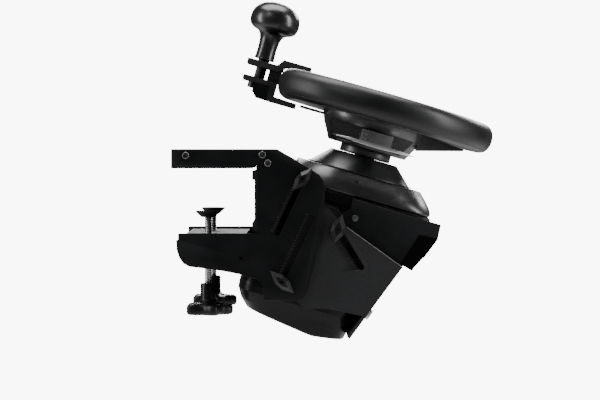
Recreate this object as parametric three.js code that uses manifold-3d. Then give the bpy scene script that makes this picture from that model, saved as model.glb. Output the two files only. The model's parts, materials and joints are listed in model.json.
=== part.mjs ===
// Racing wheel on a desk clamp: clamp frame, tilting cradle, wheel base, steering wheel and spinner knob.
// Millimetres. Z = 0 is the desk top, X points to the driver, Y = 0 is the middle.
import * as THREE from "three";
import { mergeVertices } from "three/addons/utils/BufferGeometryUtils.js";
import Module from "manifold-3d";

const wasm = await Module();
wasm.setup();

// ---- driving dimensions ----
const CLEAR = 0.3; // gap between neighbouring pieces
const SHEET = 4; // clamp side plate thickness
const FRAME_Y = 104; // inner face of the clamp side plates
const CRADLE_Y = 98; // inner face of the cradle's side plates
const CRADLE_T = 3.5;
const BRACKET_Y = 93; // inner face of the support bracket's side plates
const BRACKET_T = 3.5;
const SLOT_W = 6.4;
const STUD_R = 2.6; // lock knob studs

const PIVOT = [102.2, -11.9]; // cradle tilt axis, at the top of the height slot
const HEIGHT_SLOT_END = [74, -72.7];
const TILT_SLOT = [[79.3, -127.3], [113.1, -54.6]]; // bottom, where the knob sits, and top
const SUPPORT_SLOT = [[142.5, -68.4], [169, -111.9]];
const TILT_RANGE = THREE.MathUtils.degToRad(25);

const SCREW_X = -5.6; // clamp screws
const SCREW_Y = 70;
const SCREW_R = 4;
const FOOT_TOP = -48.7;
const KNOB_Z = [-167.6, -154.4];

const WHEEL_TILT = THREE.MathUtils.degToRad(16);
const WHEEL_CENTRE = [191.6, 0, 69.8];
const RIM_R = 126; // centre line of the rim
const RIM_HALF = [14, 17]; // half section across and along the axis
const RIM_FLAT = 106; // centre line of the flat side
const TRAY_CORNER = [215.9, -111.3]; // top corner of the cradle's lower edge
const TRAY_DIR = [-0.595, -0.804];
const TRAY_OUT = [0.804, -0.595];
const SPINNER_U = -145;
const DRIVE_U = -52; // motor axis

// ---- materials ----
function material(color, roughness, metalness = 0) {
  return new THREE.MeshStandardMaterial({ color, roughness, metalness });
}
const coated = () => material(0x26272a, 0.55, 0.3);
const plastic = () => material(0x141416, 0.35);
const rubber = () => material(0x0e0e0f, 0.8);
const steel = () => material(0xb9bbbe, 0.3, 0.9);

const root = new THREE.Group();
root.name = "racing_wheel";
const wheel = new THREE.Group(); // own frame: X to the driver in the rim plane, Z up the shaft
wheel.rotation.y = WHEEL_TILT;
wheel.position.set(...WHEEL_CENTRE);
root.add(wheel);

// ---- solids ----
function solid(geometry) {
  const bare = new THREE.BufferGeometry();
  const source = geometry.index ? geometry.toNonIndexed() : geometry;
  bare.setAttribute("position", source.getAttribute("position"));
  const merged = mergeVertices(bare, 1e-4);
  const mesh = new wasm.Mesh({
    numProp: 3,
    vertProperties: Float32Array.from(merged.attributes.position.array),
    triVerts: Uint32Array.from(merged.index.array),
  });
  return new wasm.Manifold(mesh);
}

function join(...parts) {
  return parts.reduce((a, b) => a.add(b));
}

function cut(body, ...tools) {
  return tools.reduce((a, b) => a.subtract(b), body);
}

function put(group, name, body, look) {
  const data = body.getMesh();
  const geometry = new THREE.BufferGeometry();
  const points = new Float32Array(data.numVert * 3);
  for (let i = 0; i < data.numVert; i++) {
    points.set(data.vertProperties.subarray(i * data.numProp, i * data.numProp + 3), i * 3);
  }
  geometry.setAttribute("position", new THREE.BufferAttribute(points, 3));
  geometry.setIndex(new THREE.BufferAttribute(data.triVerts, 1));
  geometry.computeVertexNormals();
  const mesh = new THREE.Mesh(geometry, look);
  mesh.name = name;
  group.add(mesh);
  return mesh;
}

// A box between two corners.
function box(low, high) {
  const size = high.map((v, i) => v - low[i]);
  const g = new THREE.BoxGeometry(...size);
  g.translate(...low.map((v, i) => v + size[i] / 2));
  return solid(g);
}

function vectors(points) {
  return points.map(([x, z]) => new THREE.Vector2(x, z));
}

// A sheet cut to an X, Z outline, from y0 to y1.
function sheet(points, y0, y1, holes = []) {
  const shape = new THREE.Shape(vectors(points));
  holes.forEach((hole) => shape.holes.push(new THREE.Path(vectors(hole))));
  const g = new THREE.ExtrudeGeometry(shape, { depth: y1 - y0, bevelEnabled: false });
  g.rotateX(Math.PI / 2);
  g.translate(0, y1, 0);
  return solid(g);
}

// The same sheet on side s, -1 or +1.
function sideSheet(s, points, inner, thickness, holes = []) {
  const [y0, y1] = s > 0 ? [inner, inner + thickness] : [-inner - thickness, -inner];
  return sheet(points, y0, y1, holes);
}

function arc(x, z, r, from, to, steps) {
  const points = [];
  for (let i = 0; i <= steps; i++) {
    const a = from + ((to - from) * i) / steps;
    points.push([x + r * Math.cos(a), z + r * Math.sin(a)]);
  }
  return points;
}

function round(x, z, r, steps = 12) {
  return arc(x, z, r, 0, 2 * Math.PI * (1 - 1 / steps), steps - 1);
}

// A band of constant width along a path, with round ends.
function band(path, width) {
  const half = width / 2;
  const heading = (i, j) => Math.atan2(path[j][1] - path[i][1], path[j][0] - path[i][0]);
  const last = path.length - 1;
  const first = heading(0, 1);
  const end = heading(last - 1, last);
  const left = [];
  const right = [];
  for (let i = 1; i < last; i++) {
    const a = heading(i - 1, i + 1) + Math.PI / 2;
    left.push([path[i][0] + half * Math.cos(a), path[i][1] + half * Math.sin(a)]);
    right.push([path[i][0] - half * Math.cos(a), path[i][1] - half * Math.sin(a)]);
  }
  const start = arc(...path[0], half, first + Math.PI / 2, first + 1.5 * Math.PI, 4);
  const finish = arc(...path[last], half, end - Math.PI / 2, end + Math.PI / 2, 4);
  return [...start, ...right, ...finish, ...left.reverse()];
}

// A rod along Y between y0 and y1.
function rodY(x, z, r, y0, y1, sides = 12) {
  const g = new THREE.CylinderGeometry(r, r, Math.abs(y1 - y0), sides);
  g.translate(x, (y0 + y1) / 2, z);
  return solid(g);
}

// A turned body about the Z axis through x, y, from [radius, z] pairs going up.
function turned(x, y, profile, sides = 16) {
  const g = new THREE.LatheGeometry(vectors(profile), sides);
  g.rotateX(Math.PI / 2);
  g.translate(x, y, 0);
  return solid(g);
}

function rodZ(x, y, r, z0, z1, sides = 16) {
  return turned(x, y, [[0, z0], [r, z0], [r, z1], [0, z1]], sides);
}

// A prism standing along Z on an X, Y outline.
function prism(points, z0, z1, holes = []) {
  const shape = new THREE.Shape(vectors(points));
  holes.forEach((hole) => shape.holes.push(new THREE.Path(vectors(hole))));
  const g = new THREE.ExtrudeGeometry(shape, { depth: z1 - z0, bevelEnabled: false });
  g.translate(0, 0, z0);
  return solid(g);
}

// A point given along and out of the cradle's lower edge.
function onTray(along, out) {
  return [
    TRAY_CORNER[0] + along * TRAY_DIR[0] + out * TRAY_OUT[0],
    TRAY_CORNER[1] + along * TRAY_DIR[1] + out * TRAY_OUT[1],
  ];
}

// ---- clamp frame ----
const plateOutline = [
  [-45.7, 21.9], [-45.7, 0], [38, 0], [40, 3.3], [53.4, 3.3], [53.4, -1.7], [48.4, -1.7],
  [48.4, -70.4], [53.4, -70.4], [53.4, -73.2], [-37.8, -73.2], [-37.8, -80.5], [-40, -80.5],
  [-39.3, -92], [-36.5, -100.5], [-31.5, -107.5], [-24.3, -110.9], [0, -113.6], [20, -117],
  [32, -119.4], [43.3, -122.8], [51, -124.6], [56, -128.5], [58.2, -134], [59.1, -148.7],
  [96.2, -148.7], [102.5, -147.6], [106.2, -143.5], [108.8, -136], [115.5, -112], [121, -89.5],
  [126.6, -44.5], [128, -22], [126.4, -14.5], [121, -7], [112, -1.2], [71.4, 21.9],
];
const plateHole = round(33.2, -101.4, 2.6, 8);
const plateScrews = [[-29.3, 14.6], [57.2, 15.4], [63.4, 6]];
for (const s of [-1, 1]) {
  const side = s < 0 ? "left" : "right";
  const holes = [
    band([PIVOT, HEIGHT_SLOT_END], SLOT_W),
    band(TILT_SLOT, SLOT_W),
    plateHole,
    ...plateScrews.map(([x, z]) => round(x, z, 2.4, 8)),
  ];
  put(root, "clamp_plate_" + side, sideSheet(s, plateOutline, FRAME_Y, SHEET, holes), coated());
  plateScrews.forEach(([x, z], i) => {
    const face = s * (FRAME_Y + SHEET + CLEAR);
    const head = rodY(x, z, 4, face, face + s * 2.2);
    const shank = rodY(x, z, 1.9, s * (FRAME_Y - 7), face + s, 8);
    const socket = rodY(x, z, 1.5, face + s * 0.9, face + s * 3, 6);
    put(root, "plate_screw_" + side + "_" + (i + 1), cut(join(head, shank), socket), steel());
  });
}

// Folded cross channel of the upper jaw, open towards the driver.
const railY = FRAME_Y - CLEAR;
const railShell = box([-43, -railY, 3], [68, railY, 21.4]);
const railHollow = box([-40, -railY + 3, 6], [72, railY - 3, 18.4]);
const railTaps = plateScrews.flatMap(([x, z]) =>
  [-1, 1].map((s) => rodY(x, z, 2.3, s * (railY - 8), s * (railY + 5), 8)),
);
put(root, "upper_jaw_channel", cut(railShell, railHollow, ...railTaps), coated());
put(root, "upper_jaw_pad", box([-46, -95, 0], [46, 95, 2.7]), rubber());

// Stop plate that meets the desk's front edge, with its two edge pads.
put(root, "desk_stop_plate", box([50, -railY, -72.6], [53, railY, 2.7]), coated());
put(root, "desk_stop_pad_upper", box([45.4, -railY + 6, -13], [49.7, railY - 6, -2.8]), rubber());
put(root, "desk_stop_pad_lower", box([45.4, -railY + 6, -71], [49.7, railY - 6, -61.4]), rubber());

// Lower jaw: a channel between the side plates with a threaded boss for each clamp screw.
const lowerTop = box([-32, -railY, -79], [38, railY, -76]);
const lowerBack = box([-32, -railY, -97], [-29, railY, -77]);
const lowerEnds = [-1, 1].map((s) => {
  const [y0, y1] = s > 0 ? [railY - 3, railY] : [-railY, -railY + 3];
  return box([-32, y0, -97], [30, y1, -77]);
});
const bosses = [-1, 1].map((s) => rodZ(SCREW_X, s * SCREW_Y, 9, -92, -77));
const bores = [-1, 1].map((s) => rodZ(SCREW_X, s * SCREW_Y, SCREW_R + CLEAR, -99, -70));
put(root, "lower_jaw_channel", cut(join(lowerTop, lowerBack, ...lowerEnds, ...bosses), ...bores), coated());

// ---- clamp screws ----
function starOutline(x, y, lobes, middle, swing, steps) {
  const points = [];
  for (let i = 0; i < steps; i++) {
    const a = (2 * Math.PI * i) / steps;
    const r = middle + swing * Math.cos(lobes * a);
    points.push([x + r * Math.cos(a), y + r * Math.sin(a)]);
  }
  return points;
}
for (const s of [-1, 1]) {
  const side = s < 0 ? "left" : "right";
  const y = s * SCREW_Y;
  const foot = turned(SCREW_X, y, [
    [0, -56], [8, -56], [13.6, -50.6], [14.2, FOOT_TOP - 0.4], [13.8, FOOT_TOP], [0, FOOT_TOP],
  ], 20);
  const seat = rodZ(SCREW_X, y, SCREW_R + CLEAR, -60, -52.4);
  put(root, "clamp_foot_" + side, cut(foot, seat), rubber());
  put(root, "clamp_screw_" + side, rodZ(SCREW_X, y, SCREW_R, -166, -52.7), steel());
  const star = prism(starOutline(SCREW_X, y, 5, 23.6, 4.9, 40), KNOB_Z[0], KNOB_Z[1]);
  const hub = rodZ(SCREW_X, y, 8.7, KNOB_Z[1] - 1, -131.5);
  const bore = rodZ(SCREW_X, y, SCREW_R + CLEAR, -170, -130);
  put(root, "star_knob_" + side, cut(join(star, hub), bore), plastic());
}

// ---- cradle ----
// Path of the tilt stud in the cradle's own frame as it climbs the frame's slot at a constant rate.
function tiltStudPath(steps) {
  const path = [];
  for (let i = 0; i <= steps; i++) {
    const f = i / steps;
    const x = TILT_SLOT[0][0] + f * (TILT_SLOT[1][0] - TILT_SLOT[0][0]) - PIVOT[0];
    const z = TILT_SLOT[0][1] + f * (TILT_SLOT[1][1] - TILT_SLOT[0][1]) - PIVOT[1];
    const a = f * TILT_RANGE;
    const c = Math.cos(a);
    const d = Math.sin(a);
    path.push([PIVOT[0] + x * c + z * d, PIVOT[1] + z * c - x * d]);
  }
  return path;
}
const cradleOutline = [
  ...arc(...PIVOT, 12.3, Math.PI, 0, 8), [127.8, -39.1], [142.5, -44.7], [150.4, -63.9],
  TRAY_CORNER, [174.1, -167.8], [156.1, -163.8], [127.8, -158.2], [106.4, -158.8],
  [95.1, -149.7], [70, -140], [60, -108], [62, -80], [78, -45],
];
const cradleHoles = [
  round(...PIVOT, STUD_R + 0.4),
  band(tiltStudPath(6), SLOT_W),
  band(SUPPORT_SLOT, SLOT_W),
];
const tray = sheet(
  [onTray(27, -CRADLE_T), onTray(27, 0), onTray(101, 0), onTray(101, -CRADLE_T)],
  -CRADLE_Y - CRADLE_T, CRADLE_Y + CRADLE_T,
);
// A rod square to the tray, from out0 to out1.
function rodTray(along, y, r, out0, out1, sides = 10) {
  const g = new THREE.CylinderGeometry(r, r, out1 - out0, sides);
  g.rotateZ(-Math.PI / 2);
  g.rotateY(Math.atan2(-TRAY_OUT[1], TRAY_OUT[0]));
  const [x, z] = onTray(along, (out0 + out1) / 2);
  g.translate(x, y, z);
  return solid(g);
}
const BASE_BOLTS = [-40, 40];
const trayHoles = BASE_BOLTS.map((y) => rodTray(69, y, 3.4, -10, 5));
const cradleSides = [-1, 1].map((s) => sideSheet(s, cradleOutline, CRADLE_Y, CRADLE_T, cradleHoles));
put(root, "cradle", cut(join(tray, ...cradleSides), ...trayHoles), coated());
BASE_BOLTS.forEach((y, i) => {
  const bolt = join(rodTray(69, y, 9, 0.3, 2), rodTray(69, y, 6.5, 1.5, 7.5, 6), rodTray(69, y, 3, -14, 3));
  put(root, "base_bolt_" + (i ? "right" : "left"), bolt, steel());
});

// ---- support bracket ----
const bracketOutline = [
  [159.6, -33.5], [259.2, -64.1], [255.8, -78.8], [239.9, -100.9], [235.4, -102], [226.4, -116.1],
  onTray(-1, 0.4), onTray(5, -8), onTray(5, -62), [150, -86], [134, -80], [130, -66], [141, -53], [157.3, -46],
];
const bracketSides = [-1, 1].map((s) =>
  sideSheet(s, bracketOutline, BRACKET_Y, BRACKET_T, [
    round(...SUPPORT_SLOT[0], STUD_R + CLEAR),
    round(161.8, -56.2, 2.4, 12),
  ]),
);
const lip = sheet(
  [onTray(-58, 9), onTray(-50, 12.6), onTray(-22, 12.8), onTray(-4, 11), onTray(-4, 8), onTray(-22, 9.8),
    onTray(-50, 9.6), onTray(-57, 6)],
  -BRACKET_Y - 1, BRACKET_Y + 1,
);
put(root, "support_bracket", join(lip, ...bracketSides), coated());

// ---- lock knobs ----
// A pointed, faceted knob with its stud. angle is its long axis; inner and outer are the stud's and knob's faces.
function lockKnob(s, [x, z], angle, inner, outer, length = 17.3, width = 6.4) {
  const ring = (k, h) => [
    [length, 0], [length * 0.26, width], [-length * 0.26, width],
    [-length, 0], [-length * 0.26, -width], [length * 0.26, -width],
  ].map(([a, b]) => [k * a, k * b, h]);
  const c = Math.cos(angle);
  const d = Math.sin(angle);
  const place = new THREE.Matrix4().set(c, -d, 0, x, 0, 0, s, 0, d, c, 0, z, 0, 0, 0, 1);
  const grip = skin([ring(0.86, outer + 3), ring(1, outer + 4.5), ring(1, outer + 8), ring(0.5, outer + 12.6)]);
  const collar = rodY(x, z, 6.6, s * outer, s * (outer + 5), 14);
  const stud = rodY(x, z, STUD_R, s * inner, s * (outer + 5), 10);
  const socket = rodY(x, z, 2.2, s * (outer + 10.4), s * (outer + 14), 6);
  return cut(join(grip.transform([...place.elements]), collar, stud), socket);
}
const frameFace = FRAME_Y + SHEET + CLEAR;
const cradleFace = CRADLE_Y + CRADLE_T + CLEAR;
for (const s of [-1, 1]) {
  const side = s < 0 ? "left" : "right";
  put(root, "pivot_knob_" + side, lockKnob(s, PIVOT, 0.85, CRADLE_Y - 3, frameFace), plastic());
  put(root, "tilt_knob_" + side, lockKnob(s, TILT_SLOT[0], -0.75, CRADLE_Y - 2, frameFace, 18.8), plastic());
  const nut = sheet(
    round(...TILT_SLOT[0], 5.6, 6), ...(s > 0 ? [CRADLE_Y - 4, CRADLE_Y - CLEAR] : [-CRADLE_Y + CLEAR, -CRADLE_Y + 4]),
    [round(...TILT_SLOT[0], STUD_R + CLEAR, 10)],
  );
  put(root, "tilt_nut_" + side, nut, steel());
  const support = lockKnob(s, SUPPORT_SLOT[0], 1.3, BRACKET_Y, cradleFace, 17.3, 7.6);
  put(root, "support_knob_" + side, support, plastic());
  const head = rodY(161.8, -56.2, 3.6, s * (BRACKET_Y + BRACKET_T + CLEAR), s * (BRACKET_Y + BRACKET_T + 1.3));
  const shank = rodY(161.8, -56.2, 2, s * BRACKET_Y, s * (BRACKET_Y + BRACKET_T + 1), 8);
  put(root, "bracket_screw_" + side, join(head, shank), steel());
}

// ---- wheel base, in the wheel frame: w = -depth below the rim plane ----
// A closed skin over rings with the same number of points.
function skin(rings) {
  const count = rings[0].length;
  const points = rings.flat();
  const index = [];
  for (let k = 0; k + 1 < rings.length; k++) {
    for (let i = 0; i < count; i++) {
      const a = k * count + i;
      const b = k * count + ((i + 1) % count);
      index.push(a, b, b + count, a, b + count, a + count);
    }
  }
  const flat = rings[0].map(([u, v]) => new THREE.Vector2(u, v));
  const top = (rings.length - 1) * count;
  THREE.ShapeUtils.triangulateShape(flat, []).forEach(([a, b, c]) => {
    index.push(a, c, b);
    index.push(top + a, top + b, top + c);
  });
  const g = new THREE.BufferGeometry();
  g.setAttribute("position", new THREE.Float32BufferAttribute(points.flat(), 3));
  g.setIndex(index);
  return solid(g);
}

// Height of the base's ridged bottom above its ridge, at u.
const RIDGE_U = -5;
function roof(u) {
  return u < RIDGE_U ? (RIDGE_U - u) * 0.131 : (u - RIDGE_U) * 0.121;
}

// One rounded-rectangle ring of the base: depth, left, right, half width, roundness, share of the roof.
function baseRing([depth, left, right, half, power, ridged = 0], inset = 0) {
  const steps = 24;
  const middle = (left + right) / 2;
  const reach = (right - left) / 2 - inset;
  const ring = [];
  for (let i = 0; i < steps; i++) {
    const a = (2 * Math.PI * (i + 0.5)) / steps;
    const c = Math.cos(a);
    const d = Math.sin(a);
    const u = reach * Math.sign(c) * Math.abs(c) ** (2 / power);
    const v = (half - inset) * Math.sign(d) * Math.abs(d) ** (2 / power);
    ring.push([middle + u, v, -depth + ridged * roof(middle + u)]);
  }
  return ring;
}
const shellRings = [
  [273.4, -74, 26, 70, 5, 1], [272.8, -84, 32.6, 80, 6, 1], [252.4, -94.6, 36.5, 86, 6], [243, -100.2, 40, 90, 6],
  [232, -101.2, 44.5, 91.5, 6], [172, -90.6, 67, 92, 6], [106.7, -79.3, 91.4, 88, 5],
];
const hollowRings = [
  [269, -80, 29, 76, 5, 1], [243, -100.2, 40, 90, 6], [232, -101.2, 44.5, 91.5, 6], [172, -90.6, 67, 92, 6],
  [106.7, -79.3, 91.4, 88, 5], [100, -79.3, 91.4, 88, 5],
];
const shellBolts = BASE_BOLTS.map((y) => rodTray(69, y, 3.3, -20, 5));
const toWheel = new THREE.Matrix4().makeRotationY(WHEEL_TILT).setPosition(...WHEEL_CENTRE).invert();
const shellTools = shellBolts.map((tool) => tool.transform([...toWheel.elements]));
const shell = cut(skin(shellRings.map((r) => baseRing(r))), skin(hollowRings.map((r) => baseRing(r, 3))));
put(wheel, "base_shell", cut(shell, ...shellTools), plastic());

const coverRings = [
  [106.4, -79.3, 91.4, 88, 5], [100, -79.2, 90.5, 87, 4.6], [90, -77.4, 83, 81, 3.6], [81, -74.5, 74.5, 74.5, 2.6],
];
const coverHollow = [
  [108, -79.3, 91.4, 88, 5], [100, -79.2, 90.5, 87, 4.6], [90, -77.4, 83, 81, 3.6], [84, -75, 76, 76, 2.8],
];
const dome = turned(0, 0, [
  [0, -82], [61.2, -82], [60.6, -79], [57.6, -75.4], [42.4, -61.4], [38, -59.6], [0, -59.6],
], 24);
const domeHollow = turned(0, 0, [
  [0, -88], [57, -88], [57, -79.6], [54.6, -77], [40.4, -64], [36, -62.6], [0, -62.6],
], 24);
const cover = cut(
  join(skin(coverRings.map((r) => baseRing(r))), dome),
  skin(coverHollow.map((r) => baseRing(r, 3))), domeHollow, rodZ(0, 0, 14, -70, -50),
);
put(wheel, "front_cover", cover, plastic());

// ---- drive ----
put(wheel, "bearing_housing", cut(
  join(rodZ(0, 0, 22, -108, -62.9), rodZ(0, 0, 33, -67, -62.9), prism(
    [[-74, -40], [60, -40], [60, 40], [-74, 40]], -112, -107,
  )),
  rodZ(0, 0, 12.3, -120, -60), rodZ(DRIVE_U, 0, 5, -120, -100),
), coated());
put(wheel, "motor", join(
  rodZ(DRIVE_U, 0, 26, -215, -137), rodZ(DRIVE_U, 0, 9, -138, -134), rodZ(DRIVE_U, 0, 3.5, -135, -112.3),
), steel());
put(wheel, "motor_pulley", cut(rodZ(DRIVE_U, 0, 9, -131, -115), rodZ(DRIVE_U, 0, 3.8, -140, -110)), steel());
const shaft = join(rodZ(0, 0, 12, -150, -58), rodZ(0, 0, 34, -131, -115, 24));
const beltLoop = (r1, r2) => {
  const reach = -DRIVE_U;
  const lean = Math.asin((r2 - r1) / reach);
  const small = arc(DRIVE_U, 0, r1, Math.PI / 2 + lean, 1.5 * Math.PI - lean, 7);
  const large = arc(0, 0, r2, -Math.PI / 2 - lean, Math.PI / 2 + lean, 13);
  return [...small, ...large];
};
put(wheel, "drive_belt", prism(beltLoop(11.7, 37), -130, -116, [beltLoop(9.8, 35.1).reverse()]), rubber());
put(wheel, "circuit_board", box([-20, -60, -226], [30, 60, -224.4]), material(0x16452c, 0.5));

// ---- steering wheel ----
put(wheel, "wheel_shaft", shaft, steel());
put(wheel, "release_collar", cut(rodZ(0, 0, 30.4, -59.2, -50.3, 24), rodZ(0, 0, 12.3, -70, -40)), plastic());
const bowl = turned(0, 0, [
  [0, -50], [47, -50], [51, -42], [57.5, -30.6], [62, -18], [62, -14], [0, -14],
], 28);
const paddleSlots = [-1, 1].map((s) => box([-47, Math.min(s * 30, s * 80), -47], [60, Math.max(s * 30, s * 80), -27]));
const shroud = sheet([[50, -14], [109, -19.4], [109, -21.4], [57, -36]], -20, 20);
const backArm = box([-89, -20, -24], [-50, 20, -21.6]);
put(wheel, "hub_housing", cut(join(bowl, shroud, backArm), ...paddleSlots), plastic());

// Four spokes and their centre plate.
function spoke(angle, near, far, r, z0, z1) {
  const across = [[-near, 40], [near, 40], [far, r], [-far, r]];
  const turnBy = angle - Math.PI / 2;
  return prism(across.map(([a, b]) => [
    a * Math.cos(turnBy) - b * Math.sin(turnBy), a * Math.sin(turnBy) + b * Math.cos(turnBy),
  ]), z0, z1);
}
const spokes = join(
  prism(round(0, 0, 61, 28), -13.6, -4),
  spoke(Math.PI / 2, 26, 16, 110.6, -10, -4), spoke(-Math.PI / 2, 26, 16, 110.6, -10, -4),
  spoke(0, 24, 14, 110.6, -10, -4), spoke(Math.PI, 24, 14, 90, -10, -4),
);
put(wheel, "spokes", spokes, coated());

// The rim: an oval section swept round a circle with one flat side.
function rimPath() {
  const open = Math.acos(RIM_FLAT / RIM_R);
  const path = [];
  const steps = 34;
  for (let i = 0; i <= steps; i++) {
    const a = -(Math.PI - open) + (2 * (Math.PI - open) * i) / steps;
    path.push([RIM_R * Math.cos(a), RIM_R * Math.sin(a)]);
  }
  const reach = RIM_R * Math.sin(open);
  for (let i = 1; i < 6; i++) {
    path.push([-RIM_FLAT - 1.5 * Math.sin((Math.PI * i) / 6), reach - (reach * i) / 3]);
  }
  return path;
}
function sweepLoop(path, half, lift, steps) {
  const points = [];
  const index = [];
  const n = path.length;
  path.forEach(([u, v], k) => {
    const next = path[(k + 1) % n];
    const back = path[(k + n - 1) % n];
    const a = Math.atan2(next[1] - back[1], next[0] - back[0]) - Math.PI / 2;
    for (let i = 0; i < steps; i++) {
      const t = (2 * Math.PI * i) / steps;
      const r = half[0] * Math.cos(t);
      points.push(u + r * Math.cos(a), v + r * Math.sin(a), lift + half[1] * Math.sin(t));
      const at = (m, j) => (m % n) * steps + (j % steps);
      index.push(at(k, i), at(k + 1, i), at(k + 1, i + 1), at(k, i), at(k + 1, i + 1), at(k, i + 1));
    }
  });
  const g = new THREE.BufferGeometry();
  g.setAttribute("position", new THREE.Float32BufferAttribute(points, 3));
  g.setIndex(index);
  return solid(g);
}
put(wheel, "rim_grip", sweepLoop(rimPath(), RIM_HALF, -1, 12), rubber());

const faceTop = 6;
const buttonSpots = [[26, -34], [-20, -36], [26, 34], [-20, 36]];
const face = cut(
  turned(0, 0, [[0, -3.7], [58, -3.7], [57, 3], [52, faceTop], [0, faceTop]], 28),
  rodZ(0, 0, 24.6, 0.7, 10, 24),
  ...buttonSpots.map(([u, v]) => rodZ(u, v, 6.5, 0.7, 10, 14)),
);
put(wheel, "hub_face", face, plastic());
put(wheel, "horn_button", turned(0, 0, [[0, 3.2], [24, 3.2], [24, 7.5], [21, 9], [0, 9.6]], 24), plastic());
buttonSpots.forEach(([u, v], i) => {
  const button = turned(u, v, [[0, 3.2], [6, 3.2], [6, 8.4], [5, 9.2], [0, 9.2]], 14);
  put(wheel, "wheel_button_" + (i + 1), button, material(0x3a3b3e, 0.4));
});

// Shift paddles: a pointed blade on a pivot block in each side of the hub housing.
for (const s of [-1, 1]) {
  const blade = prism([
    [-45, s * 66], [-12, s * 50], [24, s * 50], [56, s * 66], [52, s * 88], [30, s * 97], [-20, s * 97], [-40, s * 88],
  ], -47, -42.2);
  const lens = sheet([
    [-46, -44], [-18, -46.2], [8, -46.8], [34, -46], [57, -44.2], [34, -42.7], [8, -42.3], [-18, -42.5],
  ], Math.min(s * 49, s * 98), Math.max(s * 49, s * 98));
  const block = box([-12, Math.min(s * 31, s * 62), -42.6], [24.5, Math.max(s * 31, s * 62), -28.6]);
  put(wheel, s < 0 ? "paddle_left" : "paddle_right", join(blade.intersect(lens), block), steel());
}

// ---- spinner knob on the flat side ----
const U = SPINNER_U;
const upperPlate = join(
  box([-163, -19, 10], [-120, 19, 14]), box([-122.4, -19, 10], [-119.4, 19, 22.4]),
  box([-122.4, -19, 19.4], [-88, 19, 22.4]),
);
const shank = rodZ(U, 0, 4.4, -30, 30, 14);
put(wheel, "spinner_clamp_upper", cut(upperPlate, shank), coated());
const lowerPlate = join(
  box([-163, -19, -9.5], [-123, 19, -5.5]), box([-126.5, -19, -26.5], [-123, 19, -5.5]),
  box([-126.5, -19, -26.5], [-94, 19, -23]),
);
put(wheel, "spinner_clamp_lower", cut(lowerPlate, shank), coated());
const spindle = join(rodZ(U, 0, 4, -22, 50, 14), rodZ(U, 0, 7.5, 14.3, 17.7, 6), rodZ(U, 0, 7.2, -4.8, 9.4, 6));
put(wheel, "spinner_bolt", spindle, steel());
put(wheel, "spinner_thumbscrew", cut(prism(starOutline(U, 0, 12, 10.3, 0.6, 36), -17.5, -9.9), shank), steel());
const knobProfile = [
  [0, 18.2], [12, 18.2], [11.2, 30], [12.4, 44], [16, 50], [24.5, 53.5], [28.6, 59.5], [29.3, 66.5], [27.6, 74],
  [22, 81], [12, 86], [0, 87.5],
];
const knobBore = rodZ(U, 0, 4.4, 0, 51, 14);
put(wheel, "spinner_knob", cut(turned(U, 0, knobProfile, 20), knobBore), material(0x08080a, 0.12));

root.updateMatrixWorld(true);
export default root;
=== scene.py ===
"""Looks of a racing wheel on a desk clamp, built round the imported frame. Metres throughout."""
import json
import math

import bpy
from mathutils import Matrix, Vector


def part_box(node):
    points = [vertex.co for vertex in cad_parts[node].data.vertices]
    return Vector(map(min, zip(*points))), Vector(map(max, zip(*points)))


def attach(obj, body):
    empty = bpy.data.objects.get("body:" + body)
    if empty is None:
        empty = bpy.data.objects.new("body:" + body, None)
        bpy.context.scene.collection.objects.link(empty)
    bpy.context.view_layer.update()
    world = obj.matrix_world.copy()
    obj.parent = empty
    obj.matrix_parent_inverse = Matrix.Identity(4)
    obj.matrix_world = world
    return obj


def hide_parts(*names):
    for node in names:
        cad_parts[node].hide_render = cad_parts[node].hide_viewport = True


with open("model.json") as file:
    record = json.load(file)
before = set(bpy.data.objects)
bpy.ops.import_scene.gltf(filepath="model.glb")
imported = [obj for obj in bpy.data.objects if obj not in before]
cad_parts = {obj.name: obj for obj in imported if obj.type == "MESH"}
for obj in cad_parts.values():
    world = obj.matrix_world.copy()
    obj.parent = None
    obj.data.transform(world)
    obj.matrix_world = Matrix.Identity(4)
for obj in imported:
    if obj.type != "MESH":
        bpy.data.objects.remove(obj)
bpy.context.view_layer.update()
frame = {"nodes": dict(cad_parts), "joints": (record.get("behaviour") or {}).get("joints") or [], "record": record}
MM = 0.001
JOINTS = {j["name"]: j for j in frame["joints"]}
SIDES = (("left", -1), ("right", 1))

# ---- materials ----


def nodes_of(name):
    """A new node material: (material, its node tree, its shader)."""
    made = bpy.data.materials.new(name)
    made.use_nodes = True
    tree = made.node_tree
    return made, tree, tree.nodes["Principled BSDF"]


def noise(tree, scale, detail=4.0, stretch=None):
    """Noise in the object's own coordinates, in metres."""
    place = tree.nodes.new("ShaderNodeTexCoord")
    texture = tree.nodes.new("ShaderNodeTexNoise")
    texture.inputs["Scale"].default_value = scale
    texture.inputs["Detail"].default_value = detail
    source = place.outputs["Object"]
    if stretch:
        mapping = tree.nodes.new("ShaderNodeMapping")
        mapping.inputs["Scale"].default_value = stretch
        tree.links.new(source, mapping.inputs["Vector"])
        source = mapping.outputs["Vector"]
    tree.links.new(source, texture.inputs["Vector"])
    return texture.outputs["Fac"]


def ramp(tree, value, low, high, at=(0.35, 0.65)):
    """value spread between two colours or two grey levels."""
    node = tree.nodes.new("ShaderNodeValToRGB")
    tree.links.new(value, node.inputs["Fac"])
    for stop, place, colour in zip(node.color_ramp.elements, at, (low, high)):
        grey = isinstance(colour, float)
        stop.position = place
        stop.color = (colour, colour, colour, 1) if grey else (*colour, 1)
    return node.outputs["Color"]


def bump(tree, height, strength, distance, normal=None):
    node = tree.nodes.new("ShaderNodeBump")
    node.inputs["Strength"].default_value = strength
    node.inputs["Distance"].default_value = distance
    tree.links.new(height, node.inputs["Height"])
    if normal:
        tree.links.new(normal, node.inputs["Normal"])
    return node.outputs["Normal"]


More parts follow.
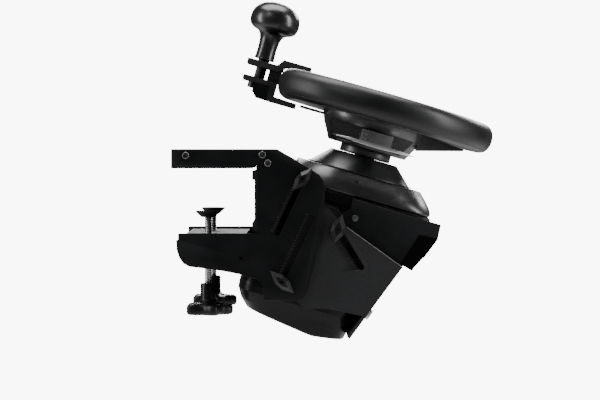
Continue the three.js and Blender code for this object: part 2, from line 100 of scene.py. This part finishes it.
def painted_edge_highlight(tree, base, bright, amount):
    """base colour, lighter on convex edges: a painted highlight where edges would catch the light."""
    geometry = tree.nodes.new("ShaderNodeNewGeometry")
    mix = tree.nodes.new("ShaderNodeMix")
    mix.data_type = "RGBA"
    spread = ramp(tree, geometry.outputs["Pointiness"], 0.0, amount, (0.52, 0.6))
    tree.links.new(spread, mix.inputs["Factor"])
    tree.links.new(base, mix.inputs["A"])
    mix.inputs["B"].default_value = (*bright, 1)
    return mix.outputs["Result"]


def surface(name, dark, light, rough, grain, grain_height, metal=0.0, edge_highlight=None, stretch=None, sheen=0.5):
    """A surface whose colour, roughness and fine relief all vary at their own scales."""
    made, tree, shader = nodes_of(name)
    cloud = noise(tree, 28.0, 5.0)
    colour = ramp(tree, cloud, dark, light)
    # Convex edges are lightened here: a painted highlight.
    if edge_highlight:
        colour = painted_edge_highlight(tree, colour, edge_highlight, 0.55)
    tree.links.new(colour, shader.inputs["Base Color"])
    smears = noise(tree, 60.0, 3.0, stretch)
    tree.links.new(ramp(tree, smears, rough[0], rough[1]), shader.inputs["Roughness"])
    relief = noise(tree, grain, 6.0, stretch)
    tree.links.new(bump(tree, relief, 0.6, grain_height), shader.inputs["Normal"])
    shader.inputs["Metallic"].default_value = metal
    shader.inputs["Specular IOR Level"].default_value = sheen
    return made


def leather(name):
    """Black leather: pebbled grain with fine pores, a little polished by hands."""
    made, tree, shader = nodes_of(name)
    place = tree.nodes.new("ShaderNodeTexCoord")
    cells = tree.nodes.new("ShaderNodeTexVoronoi")
    cells.inputs["Scale"].default_value = 750.0
    tree.links.new(place.outputs["Object"], cells.inputs["Vector"])
    pebbles = bump(tree, cells.outputs["Distance"], 0.35, 0.00012)
    pores = bump(tree, noise(tree, 2600.0, 3.0), 0.2, 0.00006, pebbles)
    tree.links.new(pores, shader.inputs["Normal"])
    colour = ramp(tree, noise(tree, 35.0), (0.0035, 0.0035, 0.0038), (0.006, 0.006, 0.0065))
    tree.links.new(colour, shader.inputs["Base Color"])
    tree.links.new(ramp(tree, noise(tree, 18.0), 0.36, 0.46), shader.inputs["Roughness"])
    shader.inputs["Specular IOR Level"].default_value = 0.35
    return made


# The edge colours of these finishes are painted highlights on convex edges.
COATED = surface(
    "powder_coat", (0.0042, 0.0043, 0.0047), (0.0058, 0.006, 0.0065),
    (0.38, 0.5), 2400.0, 0.00003, edge_highlight=(0.04, 0.04, 0.042), sheen=0.1,
)
PLASTIC = surface(
    "satin_plastic", (0.0035, 0.0035, 0.0038), (0.0055, 0.0055, 0.006),
    (0.32, 0.4), 1900.0, 0.000008, edge_highlight=(0.03, 0.03, 0.031), sheen=0.75,
)
# A darker copy of the satin plastic for the base's shell: the darker tone is painted shade on its sides and
# underside; it also has less sheen.
SHADED_SHELL_PLASTIC = surface(
    "shell_plastic_shaded", (0.0025, 0.0025, 0.0028), (0.004, 0.004, 0.0044),
    (0.26, 0.36), 1900.0, 0.000012, sheen=0.16,
)
KNOB = surface(
    "knob_plastic", (0.004, 0.004, 0.0044), (0.007, 0.007, 0.0075),
    (0.28, 0.38), 1500.0, 0.00002, edge_highlight=(0.02, 0.02, 0.021), sheen=0.2,
)
GLOSS = surface(
    "gloss_plastic", (0.002, 0.002, 0.0024), (0.0035, 0.0035, 0.004),
    (0.26, 0.34), 300.0, 0.00001, sheen=0.6,
)
RUBBER = surface(
    "rubber", (0.005, 0.005, 0.005), (0.01, 0.01, 0.01),
    (0.62, 0.8), 1300.0, 0.0001, sheen=0.3,
)
STEEL = surface(
    "machined_steel", (0.32, 0.32, 0.33), (0.44, 0.44, 0.45),
    (0.24, 0.36), 260.0, 0.00002, metal=1.0, stretch=(1, 1, 9),
)
PADDLE = surface(
    "brushed_aluminium", (0.7, 0.71, 0.72), (0.78, 0.79, 0.8),
    (0.26, 0.34), 260.0, 0.000012, metal=1.0, stretch=(1, 14, 1),
)
BUTTON = surface(
    "button_plastic", (0.02, 0.02, 0.022), (0.028, 0.028, 0.03),
    (0.35, 0.45), 1500.0, 0.00004,
)
BOARD = surface(
    "circuit_board", (0.008, 0.05, 0.03), (0.012, 0.07, 0.04),
    (0.35, 0.5), 700.0, 0.00004,
)
MARKS = surface(
    "printed_marks", (0.035, 0.035, 0.037), (0.055, 0.055, 0.057),
    (0.5, 0.6), 900.0, 0.00001,
)
# Near-black for sheets that stand for shade: painted shade in the height slots and on the bracket's lip.
SHADE_BLACK = surface(
    "painted_shade_black", (0.001, 0.001, 0.001), (0.002, 0.002, 0.002),
    (0.8, 0.9), 900.0, 0.00006, sheen=0.03,
)
# A bright metal colour for a thin line along the cradle's lower edge: a painted highlight where that edge catches
# the light.
EDGE_HIGHLIGHT_STRIP = surface(
    "edge_highlight_strip", (0.2, 0.2, 0.205), (0.3, 0.3, 0.305),
    (0.3, 0.4), 700.0, 0.00001,
)
# The screw's bright edge colour is a painted highlight.
SCREW = surface(
    "black_oxide_screw", (0.02, 0.02, 0.021), (0.035, 0.035, 0.036),
    (0.2, 0.3), 900.0, 0.00002, metal=0.7, edge_highlight=(0.5, 0.5, 0.5),
)
LEATHER = leather("grip_leather")

FINISH = {
    "coated_metal": COATED, "pad_rubber": RUBBER, "grip_leather": LEATHER, "base_plastic": PLASTIC,
    "knob_plastic": KNOB, "button_plastic": BUTTON, "gloss_black": GLOSS, "screw_steel": STEEL,
    "paddle_metal": PADDLE, "board": BOARD, "screw_black": SCREW,
}

# ---- the CAD nodes that stay: rounded edges and a finish ----

SLOT_OF = {s["node"]: s["material_slot"] for s in frame["record"]["subparts"]}


def dress(node):
    """Merges coplanar facets, rounds the edges and gives the node its finish."""
    piece = frame["nodes"][node]
    piece.data.materials.clear()
    piece.data.materials.append(FINISH[SLOT_OF[node]])
    weld = piece.modifiers.new("weld", "WELD")
    weld.merge_threshold = 0.00002
    flats = piece.modifiers.new("flats", "DECIMATE")
    flats.decimate_type = "DISSOLVE"
    flats.angle_limit = math.radians(1)
    low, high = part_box(node)
    bevel = piece.modifiers.new("edges", "BEVEL")
    bevel.width = min(0.0006, min(high - low) * 0.12)
    bevel.segments = 2
    bevel.limit_method = "ANGLE"
    bevel.angle_limit = math.radians(34)
    flat = SLOT_OF[node] == "coated_metal" or "_knob_" in node
    piece.data.polygons.foreach_set("use_smooth", [not flat] * len(piece.data.polygons))


for node in frame["nodes"]:
    dress(node)
for node in ("spinner_bolt", "spinner_thumbscrew"):
    frame["nodes"][node].data.materials[0] = KNOB

# ---- making meshes ----


def piece(name, points, faces, body, slot, finish=None, stands_for=(), smooth=True):
    """A mesh piece in the row frame that rides on a body."""
    mesh = bpy.data.meshes.new(name)
    mesh.from_pydata([tuple(p) for p in points], [], faces)
    mesh.validate()
    made = bpy.data.objects.new(name, mesh)
    bpy.context.collection.objects.link(made)
    mesh.materials.append(finish or FINISH[slot])
    if smooth:
        mesh.polygons.foreach_set("use_smooth", [True] * len(mesh.polygons))
    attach(made, body)
    if stands_for:
        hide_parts(*stands_for)
    return made


def skin(rings, closed=False):
    """Points and faces over rings of equal length; capped unless the rings close on themselves."""
    count = len(rings[0])
    points = [p for ring in rings for p in ring]
    faces = []
    last = len(rings) if closed else len(rings) - 1
    for k in range(last):
        for i in range(count):
            a, b = k * count + i, k * count + (i + 1) % count
            c, d = ((k + 1) % len(rings)) * count + (i + 1) % count, ((k + 1) % len(rings)) * count + i
            faces.append((a, b, c, d))
    if not closed:
        faces.append(tuple(range(count))[::-1])
        faces.append(tuple(range((len(rings) - 1) * count, len(rings) * count)))
    return points, faces


def soften(profile, steps):
    """A smooth curve through the profile's points."""
    out = []
    for k in range(len(profile) - 1):
        before, a, b, after = (profile[min(max(j, 0), len(profile) - 1)] for j in (k - 1, k, k + 1, k + 2))
        for i in range(steps):
            t = i / steps
            out.append(tuple(
                0.5 * (2 * q + (r - p) * t
                       + (2 * p - 5 * q + 4 * r - s) * t * t
                       + (3 * q - p - 3 * r + s) * t ** 3)
                for p, q, r, s in zip(before, a, b, after)
            ))
    out.append(tuple(profile[-1]))
    return out


def lathe(name, place, profile, body, slot, sides=64, **rest):
    """A turned piece: profile is (radius, height) pairs in mm, place maps its axis into the row frame."""
    rings = []
    for radius, height in profile:
        ring = []
        for i in range(sides):
            a = math.tau * i / sides
            local = Vector((radius * math.cos(a), radius * math.sin(a), height)) * MM
            ring.append(place @ local)
        rings.append(ring)
    points, faces = skin(rings)
    return piece(name, points, faces, body, slot, **rest)


TURN = JOINTS["wheel_turn"]
SHAFT = Vector(TURN["axis"]).normalized()
TILT = math.atan2(SHAFT.x, SHAFT.z)
WHEEL = Matrix.Translation(Vector(TURN["pos_m"])) @ Matrix.Rotation(TILT, 4, "Y")
SPIN = JOINTS["spinner_spin"]
SPIN_AT = WHEEL.inverted() @ Vector(SPIN["pos_m"])
SPINNER = WHEEL @ Matrix.Translation((SPIN_AT.x, 0, 0))

# ---- rim ----

RIM_R, RIM_FLAT, RIM_WIDE, RIM_TALL, RIM_LIFT = 126.0, 106.0, 13.9, 16.9, -1.0


def rim_path(steps=150, corner=9):
    """Centre line of the flat-sided rim, with its two corners eased."""
    reach = math.acos(RIM_FLAT / RIM_R)
    raw = []
    for i in range(steps):
        a = math.tau * i / steps
        u, v = RIM_R * math.cos(a), RIM_R * math.sin(a)
        if u < -RIM_FLAT:
            u = -RIM_FLAT - 1.5 * math.cos(math.pi / 2 * v / (RIM_R * math.sin(reach)))
        raw.append((u, v))
    for _ in range(corner):
        raw = [
            tuple((raw[i - 1][j] + 2 * raw[i][j] + raw[(i + 1) % steps][j]) / 4 for j in (0, 1))
            for i in range(steps)
        ]
    return raw


def rim_section(steps=40):
    """The grip's section, a little squarer than an ellipse."""
    out = []
    for i in range(steps):
        a = math.tau * i / steps
        c, s = math.cos(a), math.sin(a)
        across = RIM_WIDE * math.copysign(abs(c) ** 0.86, c)
        up = RIM_TALL * math.copysign(abs(s) ** 0.94, s)
        out.append((across, up))
    return out


def rim_frames():
    path = rim_path()
    for i, (u, v) in enumerate(path):
        before, after = path[i - 1], path[(i + 1) % len(path)]
        a = math.atan2(after[1] - before[1], after[0] - before[0]) - math.pi / 2
        yield u, v, math.cos(a), math.sin(a)


def sweep_rim(name, section, **rest):
    """A band of constant section that runs all round the rim."""
    rings = []
    for u, v, c, s in rim_frames():
        rings.append([WHEEL @ (Vector((u + r * c, v + r * s, RIM_LIFT + h)) * MM) for r, h in section])
    points, faces = skin(rings, closed=True)
    piece(name, points, faces, "steering_wheel", "grip_leather", **rest)


def bead(across, up, radius, steps=8):
    return [(across + radius * math.cos(math.tau * i / steps), up + radius * math.sin(math.tau * i / steps))
            for i in range(steps)]


sweep_rim("rim_leather", rim_section(), stands_for=("rim_grip",))
sweep_rim("rim_lower_seam", bead(9.2, -13.1, 0.55))
sweep_rim("rim_inner_seam", bead(-13.75, 0.0, 0.5))


STITCH_FACES = [(i, (i + 1) % 4, 4 + (i + 1) % 4, 4 + i) for i in range(4)] + [(3, 2, 1, 0), (4, 5, 6, 7)]


def stitches():
    """Cross stitches over the inner seam, each a short leaning thread."""
    points, faces = [], []
    for u, v, c, s in rim_frames():
        along = Vector((-s, c, 0))
        inward = Vector((-c, -s, 0))
        for lean in (-1, 1):
            middle = Vector((u, v, RIM_LIFT)) + inward * 14.1
            half = along * 1.6 * lean + Vector((0, 0, 2.2))
            wide = along.cross(half).normalized()
            side = half.cross(wide).normalized() * 0.25
            start = len(points)
            for end in (-1, 1):
                for d in (side, wide * 0.2, -side, -wide * 0.2):
                    points.append(WHEEL @ ((middle + half * end - inward * 0.3 + d) * MM))
            faces += [tuple(start + corner for corner in face) for face in STITCH_FACES]
    piece("rim_stitches", points, faces, "steering_wheel", "button_plastic", BUTTON)


stitches()

# ---- spinner knob ----

CAP = [(12, 18.3), (11.6, 21), (11.2, 28), (11.4, 36), (12.6, 44), (16, 50), (22.5, 52.6), (27, 56),
       (29.1, 61.5), (29.2, 67.5), (27.6, 74), (24, 79.4), (18.5, 83.6), (11, 86.4), (4, 87.4), (0.4, 87.5)]
lathe("spinner_cap", SPINNER, [(0.4, 18.2), (11.4, 18.2)] + soften(CAP, 5), "spinner", "gloss_black", 72,
      stands_for=("spinner_knob",))

# ---- folded side flanges of the spinner's clamp plates, (u, w) in the wheel frame ----

FLANGES = {
    "upper": [(-163, 8.6), (-124.6, 8.6), (-117, 16.4), (-88, 17.6), (-88, 23.6), (-121.6, 23.6),
              (-127.6, 15.6), (-163, 15.2)],
    "lower": [(-163, -10.6), (-130, -10.6), (-130, -24), (-127, -27.8), (-94, -27.8), (-94, -22),
              (-122.2, -21), (-122.2, -4.6), (-163, -4.6)],
    "gusset": [(-147, -10.8), (-129.6, -10.8), (-129.6, -24.2), (-127, -27.6), (-143, -27.2), (-147, -22)],
}
for tag, outline in FLANGES.items():
    for side, sign in SIDES:
        count = len(outline)
        inner, outer = [[WHEEL @ (Vector((u, sign * v, w)) * MM) for u, w in outline] for v in (17.2, 19.4)]
        faces = [tuple(range(count))[::-1], tuple(range(count, 2 * count))]
        faces += [(i, (i + 1) % count, count + (i + 1) % count, count + i) for i in range(count)]
        piece(f"spinner_clamp_flange_{tag}_{side}", inner + outer, faces, "steering_wheel", "coated_metal",
              smooth=False)

CORE_SIDES = ((-135, -15), (-120.8, -15), (-120.8, 15), (-135, 15))  # rubber between the clamp plates
core = [WHEEL @ (Vector((u, v, w)) * MM) for w in (-5, 9.6) for u, v in CORE_SIDES]
CORE_FACES = [(3, 2, 1, 0), (4, 5, 6, 7), (0, 1, 5, 4), (1, 2, 6, 5), (2, 3, 7, 6), (3, 0, 4, 7)]
piece("spinner_clamp_core", core, CORE_FACES, "steering_wheel", "pad_rubber", smooth=False)

# ---- wheel base ----


def roof(u):
    """Height of the base's ridged bottom above its ridge."""
    return (-5 - u) * 0.131 if u < -5 else (u + 5) * 0.121


def base_ring(depth, left, right, half, power, ridged=0.0, steps=120):
    """One rounded-rectangle ring of the base, depth mm below the rim plane."""
    middle, reach = (left + right) / 2, (right - left) / 2
    ring = []
    for i in range(steps):
        a = math.tau * (i + 0.5) / steps
        c, s = math.cos(a), math.sin(a)
        u = reach * math.copysign(abs(c) ** (2 / power), c)
        v = half * math.copysign(abs(s) ** (2 / power), s)
        ring.append(WHEEL @ (Vector((middle + u, v, -depth + ridged * roof(middle + u))) * MM))
    return ring


# Rings of (depth, left, right, half width, squareness[, share of the roof]), from the bottom up.
SHELL = [
    (273.4, -70, 22, 66, 5, 1), (273.3, -80, 29.6, 76, 5.4, 1), (272.6, -84.4, 32.8, 80, 6, 1),
    (271.4, -85.7, 33.6, 81.2, 6, 0.92), (254.2, -94, 36.2, 85.6, 6, 0.04), (252.4, -94.8, 36.6, 86.2, 6),
    (244, -99.8, 39.6, 89.6, 6), (242.6, -100.5, 40.2, 90.2, 6), (235, -101.2, 43.4, 91.3, 6),
    (232, -101.1, 44.5, 91.5, 6),
    (212, -97.6, 52, 91.7, 6), (172, -90.6, 67, 92, 6), (140, -85, 79, 90, 5.4), (122, -82, 85.7, 89, 5),
    (121.4, -81, 84.7, 88, 5), (119.6, -81, 85.3, 88, 5), (119, -81.4, 86.8, 88.8, 5),
    (108, -79.4, 90.8, 88, 5), (106.9, -78.6, 90, 87.2, 5),
]
shell_points, shell_faces = skin([base_ring(*r) for r in SHELL])
# The shell takes the darker copy of the plastic: painted shade.
piece("base_housing", shell_points, shell_faces, "cradle_body", "base_plastic", SHADED_SHELL_PLASTIC,
      stands_for=("base_shell",), smooth=False)

COVER = [
    (106.3, -78.4, 89.6, 87, 5), (105.4, -79.2, 91, 87.8, 5), (103.4, -79.2, 91, 87.8, 4.9),
    (100, -79, 90.3, 87, 4.6), (95, -78.3, 87, 84.4, 4.1), (90, -77.4, 83, 81, 3.6),
    (85.5, -76, 78.6, 77.6, 3.1), (82, -75, 75.6, 75.4, 2.7),
    (81.1, -74, 74, 74, 2.6), (80.9, -66, 66, 66, 2.2), (80.9, -62, 62, 62, 2),
]
cover_points, cover_faces = skin([base_ring(*r) for r in COVER])
piece("base_front", cover_points, cover_faces, "cradle_body", "base_plastic", stands_for=("front_cover",))
DOME = [(61.2, -80.9), (61.1, -80.2), (60.4, -79.4), (52.8, -72), (46.6, -66), (40.6, -60.4), (39.4, -59.8),
        (37.6, -59.7), (36.6, -60.4), (34, -61.8), (13.2, -61.8)]
lathe("base_dome", WHEEL, soften(DOME, 3), "cradle_body", "base_plastic", 96)
DOME_SEAM = [(61.3, -80.6), (62.6, -80.4), (63.2, -79.8), (62.4, -79.2), (61.1, -79.2)]
lathe("dome_seam", WHEEL, DOME_SEAM, "cradle_body", "base_plastic", 96)


def side_frame(u, depth, v, side):
    """A frame on the base's side: its Z points out of side."""
    at = WHEEL @ (Vector((u, side * v, -depth)) * MM)
    return Matrix.Translation(at) @ Matrix.Rotation(-side * math.pi / 2, 4, "X")


PLUG = [(4.6, -4), (4.6, 0.9), (4.3, 1.2), (3.2, 1.2), (2.9, 0.9), (2.9, -0.4), (0.3, -0.4)]
for side, sign in SIDES:
    lathe("front_plug_" + side, side_frame(-3, 91.5, 80.6, sign), PLUG, "cradle_body", "base_plastic", 40)

# ---- clamp screws, feet and star knobs ----


def threaded(name, node, pitch, depth, body):
    """A rod with a two-start thread along its whole length."""
    low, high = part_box(node)
    x, y = (low.x + high.x) / 2, (low.y + high.y) / 2
    radius = (high.x - low.x) / 2
    sides, per_turn = 24, 8
    count = int((high.z - low.z) / (pitch / per_turn))
    rings = []
    for k in range(count + 1):
        z = low.z + (high.z - low.z) * k / count
        fade = min(1.0, (high.z - z) / 0.004, (z - low.z) / 0.002)
        ring = []
        for i in range(sides):
            phase = (z / pitch - 2 * i / sides) % 1.0
            r = radius - depth * fade * (0.5 + 0.5 * math.cos(math.tau * phase))
            ring.append((x + r * math.cos(math.tau * i / sides), y + r * math.sin(math.tau * i / sides), z))
        rings.append(ring)
    points, faces = skin(rings)
    piece(name, points, faces, body, "screw_steel", stands_for=(node,))


def star_knob(name, node, body):
    """Five round lobes under a waisted hub."""
    low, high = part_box(node)
    joint = JOINTS["clamp_turn_" + ("left" if low.y < 0 else "right")]
    x, y = joint["pos_m"][0], joint["pos_m"][1]
    wide, swing, hub, thick = 23.6, 4.9, 8.7, 13.2
    levels = [(0.30, 0.0), (0.70, 0.05), (0.88, 0.5), (0.96, 1.6), (1.0, 3.4), (1.0, thick - 3.4),
              (0.96, thick - 1.6), (0.88, thick - 0.5), (0.70, thick - 0.05)]
    neck = [(14.5, thick + 0.3), (11, thick + 1.4), (9.3, thick + 3.4), (hub, thick + 6), (hub, 34.6),
            (8.2, 35.8), (5.2, 36.1)]
    rings = []
    for share, up in levels:
        ring = []
        for i in range(100):
            a = math.tau * i / 100
            lobe = math.cos(5 * a)
            r = share * (wide + swing * (lobe + 0.12 * math.cos(10 * a)) / 1.12)
            ring.append((x + r * MM * math.cos(a), y + r * MM * math.sin(a), low.z + up * MM))
        rings.append(ring)
    for r, up in neck:
        rings.append([(x + r * MM * math.cos(math.tau * i / 100), y + r * MM * math.sin(math.tau * i / 100),
                       low.z + up * MM) for i in range(100)])
    points, faces = skin(rings)
    piece(name, points, faces, body, "knob_plastic", stands_for=(node,))


FOOT = [(1, -56), (7.6, -56), (8.4, -55.4), (9.6, -54.2), (13.4, -51), (14.1, -50.2), (14.2, -49.4),
        (13.9, -48.9), (13.2, -48.7),
        (11.4, -48.7), (11.1, -49), (10.7, -48.7), (7.9, -48.7), (7.6, -49), (7.2, -48.7), (0.4, -48.7)]
for side, sign in SIDES:
    threaded("clamp_thread_" + side, "clamp_screw_" + side, 0.002, 0.00055, "screw_" + side)
    star_knob("star_grip_" + side, "star_knob_" + side, "screw_" + side)
    at = Vector(JOINTS["clamp_turn_" + side]["pos_m"])
    lathe("foot_pad_" + side, Matrix.Translation((at.x, at.y, 0)), FOOT, "foot_" + side, "pad_rubber", 64,
          stands_for=("clamp_foot_" + side,))

# ---- printed scales beside the slots ----


def scale_marks(name, body, start, end, face_y, offset, count, side):
    """Short printed ticks along one side of a slot, every fifth one longer."""
    points, faces = [], []
    run = Vector((end[0] - start[0], 0, end[1] - start[1]))
    along = run.normalized()
    across = Vector((-along.z, 0, along.x))
    for k in range(count + 1):
        length = 2.6 if k % 5 == 0 else 1.6
        middle = Vector((start[0], 0, start[1])) + run * k / count
        near = middle + across * math.copysign(abs(offset), offset)
        far = near + across * math.copysign(length, offset)
        start_index = len(points)
        for y in (face_y - 0.15 * side, face_y + 0.06 * side):
            for p in (near - along * 0.22, near + along * 0.22, far + along * 0.22, far - along * 0.22):
                points.append((p.x * MM, y * MM, p.z * MM))
        s = start_index
        faces += [(s, s + 1, s + 2, s + 3), (s + 7, s + 6, s + 5, s + 4)]
        faces += [(s + i, s + 4 + i, s + 4 + (i + 1) % 4, s + (i + 1) % 4) for i in range(4)]
    piece(name, points, faces, body, "button_plastic", MARKS, smooth=False)


FRAME_FACE, CRADLE_FACE, BRACKET_FACE = 108, 101.5, 96.5  # outer faces of the side plates
HEIGHT_END = (74, -72.7)


def at_rest(joint):
    """A joint's place in the X, Z plane, in mm."""
    pos = JOINTS[joint]["pos_m"]
    return pos[0] / MM, pos[2] / MM


def at_limit(place, joint):
    """place moved to the end of a sliding joint's travel."""
    travel, axis = JOINTS[joint]["range_m"][1], JOINTS[joint]["axis"]
    return place[0] + axis[0] * travel / MM, place[1] + axis[2] * travel / MM


PIVOT = at_rest("cradle_tilt")
LOW_B = at_rest("tilt_knob_left_turn")
TOP_B = at_limit(LOW_B, "tilt_follow_left")
LOW_C = at_rest("support_knob_left_turn")
END_C = at_limit(LOW_C, "support_slide")
for side, sign in SIDES:
    scale_marks("height_scale_" + side, "clamp_frame", PIVOT, HEIGHT_END, sign * FRAME_FACE, -5.2, 20, sign)
    scale_marks("tilt_scale_" + side, "clamp_frame", LOW_B, TOP_B, sign * FRAME_FACE, 5.2, 25, sign)
    for tag, offset in (("inner", -5.4), ("outer", 5.4)):
        name = f"support_scale_{tag}_{side}"
        scale_marks(name, "cradle_body", LOW_C, END_C, sign * CRADLE_FACE, offset, 15, sign)

# ---- folded edges, slot frame, painted edge highlight and painted shade ----


def strip(name, path, face_y, side, width, height, body, slot, finish=None):
    """A thin raised line along an X, Z path on a side face, all in mm."""
    points, faces = [], []
    for k, (x, z) in enumerate(path):
        before, after = path[max(k - 1, 0)], path[min(k + 1, len(path) - 1)]
        along = Vector((after[0] - before[0], 0, after[1] - before[1])).normalized()
        across = Vector((-along.z, 0, along.x)) * width / 2
        for a, up in ((-1, -0.15), (1, -0.15), (0.7, height), (-0.7, height)):
            points.append(Vector((x + across.x * a, face_y + side * up, z + across.z * a)) * MM)
    count = len(path)
    for k in range(count - 1):
        faces += [(4 * k + i, 4 * k + (i + 1) % 4, 4 * k + 4 + (i + 1) % 4, 4 * k + 4 + i) for i in range(4)]
    faces += [(3, 2, 1, 0), tuple(4 * (count - 1) + i for i in range(4))]
    piece(name, points, faces, body, slot, finish, smooth=False)


def stadium(start, end, radius, steps=14):
    """Closed outline round a slot, in mm, with its first point repeated."""
    heading = math.atan2(end[1] - start[1], end[0] - start[0])
    out = []
    for (x, z), turn in ((end, -math.pi / 2), (start, math.pi / 2)):
        for i in range(steps + 1):
            a = heading + turn + math.pi * i / steps
            out.append((x + radius * math.cos(a), z + radius * math.sin(a)))
    return out + out[:1]


BRACKET_FOLD = [(160.5, -35.0), (258.0, -65.0)]
CRADLE_FOLD = [(129.4, -41.6), (142.9, -46.8), (149.4, -62.6)]
CRADLE_EDGE = [(152.8, -66.6), (214.2, -110.9)]
SLOT_SHADE = [(97.6, -21.9), (75.2, -70.1)]
# Outline of a thin black sheet on the bracket's lip: painted shade where the lip lies in shadow.
LIP_SHADE = [(234.6, -75.4), (256.4, -79.6), (240.1, -101.2), (235.2, -102.4), (226.6, -115.8), (213.6, -108.0)]
LIP_SHADE_FACES = [tuple(range(6))[::-1], tuple(range(6, 12))]
LIP_SHADE_FACES += [(i, (i + 1) % 6, 6 + (i + 1) % 6, 6 + i) for i in range(6)]
for side, sign in SIDES:
    strip("bracket_fold_" + side, BRACKET_FOLD, sign * BRACKET_FACE, sign, 0.9, 0.35, "support", "coated_metal")
    strip("cradle_fold_" + side, CRADLE_FOLD, sign * CRADLE_FACE, sign, 0.8, 0.3, "cradle_body", "coated_metal")
    # A thin black sheet of painted shade on each side.
    outline = [Vector((x * MM, sign * y * MM, z * MM)) for y in (96.3, 96.9) for x, z in LIP_SHADE]
    piece("lip_shade_sheet_" + side, outline, LIP_SHADE_FACES, "support", "pad_rubber", SHADE_BLACK, smooth=False)
    # A painted highlight along the cradle's lower edge.
    strip("cradle_edge_highlight_strip_" + side, CRADLE_EDGE, sign * CRADLE_FACE, sign, 0.6, 0.12, "cradle_body",
          "screw_steel", EDGE_HIGHLIGHT_STRIP)
    strip("height_slot_shade_" + side, SLOT_SHADE, sign * 104.1, sign, 6.2, 0.2, "clamp_frame", "pad_rubber", SHADE_BLACK)
    strip("support_slot_frame_" + side, stadium(LOW_C, END_C, 9.6), sign * CRADLE_FACE, sign, 0.5, 0.12,
          "cradle_body", "coated_metal")

# ---- camera, light and floor ----

CAMERA_X, CAMERA_Z, DISTANCE = 0.0996, 0.0208, 2.36
PIXEL_M = 0.00118  # what one of the picture's 600 columns covers in the plane Y = 0

camera = bpy.data.cameras.new("camera")
camera.sensor_width = 36.0
camera.lens = 36.0 * DISTANCE / (600 * PIXEL_M)
camera.shift_y = -50 / 600
eye = bpy.data.objects.new("camera", camera)
eye.location = (CAMERA_X, -DISTANCE, CAMERA_Z)
eye.rotation_euler = (math.pi / 2, 0, 0)
bpy.context.collection.objects.link(eye)
bpy.context.scene.camera = eye

world = bpy.data.worlds.new("studio")
world.use_nodes = True
sky = world.node_tree
seen = sky.nodes.new("ShaderNodeBackground")  # the white backdrop itself
seen.inputs["Color"].default_value = (1, 1, 1, 1)
seen.inputs["Strength"].default_value = 9.0
fill = sky.nodes["Background"]  # what the backdrop gives as light
fill.inputs["Color"].default_value = (1, 1, 1, 1)
fill.inputs["Strength"].default_value = 0.12
path = sky.nodes.new("ShaderNodeLightPath")
share = sky.nodes.new("ShaderNodeMixShader")
sky.links.new(path.outputs["Is Camera Ray"], share.inputs["Fac"])
sky.links.new(fill.outputs["Background"], share.inputs[1])
sky.links.new(seen.outputs["Background"], share.inputs[2])
sky.links.new(share.outputs["Shader"], sky.nodes["World Output"].inputs["Surface"])
bpy.context.scene.world = world


def softbox(name, at, aim, size, power):
    light = bpy.data.lights.new(name, "AREA")
    light.shape = "RECTANGLE"
    light.size, light.size_y = size
    light.energy = power
    lamp = bpy.data.objects.new(name, light)
    lamp.location = at
    lamp.rotation_euler = (Vector(aim) - Vector(at)).to_track_quat("-Z", "Y").to_euler()
    bpy.context.collection.objects.link(lamp)


MIDDLE = (0.12, 0, -0.01)
softbox("top_softbox", (0.1, 0.1, 1.6), MIDDLE, (1.8, 1.1), 60)
softbox("right_strip", (1.5, -0.5, 0.3), MIDDLE, (0.3, 1.4), 22)
softbox("left_strip", (-1.4, -0.4, 0.4), MIDDLE, (0.3, 1.2), 18)
softbox("front_fill", (-0.9, -1.6, 1.5), MIDDLE, (0.9, 0.5), 7)
softbox("back_strip", (0.5, 1.5, 0.7), MIDDLE, (1.8, 0.4), 30)

floor_mesh = bpy.data.meshes.new("floor")
FLOOR_Z, REACH = -0.72, 3.3
FLOOR_CORNERS = [(REACH * a, REACH * b, FLOOR_Z) for a, b in ((-1, -1), (1, -1), (1, 1), (-1, 1))]
floor_mesh.from_pydata(FLOOR_CORNERS, [], [(0, 1, 2, 3)])
floor = bpy.data.objects.new("floor", floor_mesh)
bpy.context.collection.objects.link(floor)
PALE_FLOOR = surface("pale_floor", (0.8, 0.8, 0.8), (0.84, 0.84, 0.84), (0.7, 0.8), 30.0, 0.0001)
floor_mesh.materials.append(PALE_FLOOR)
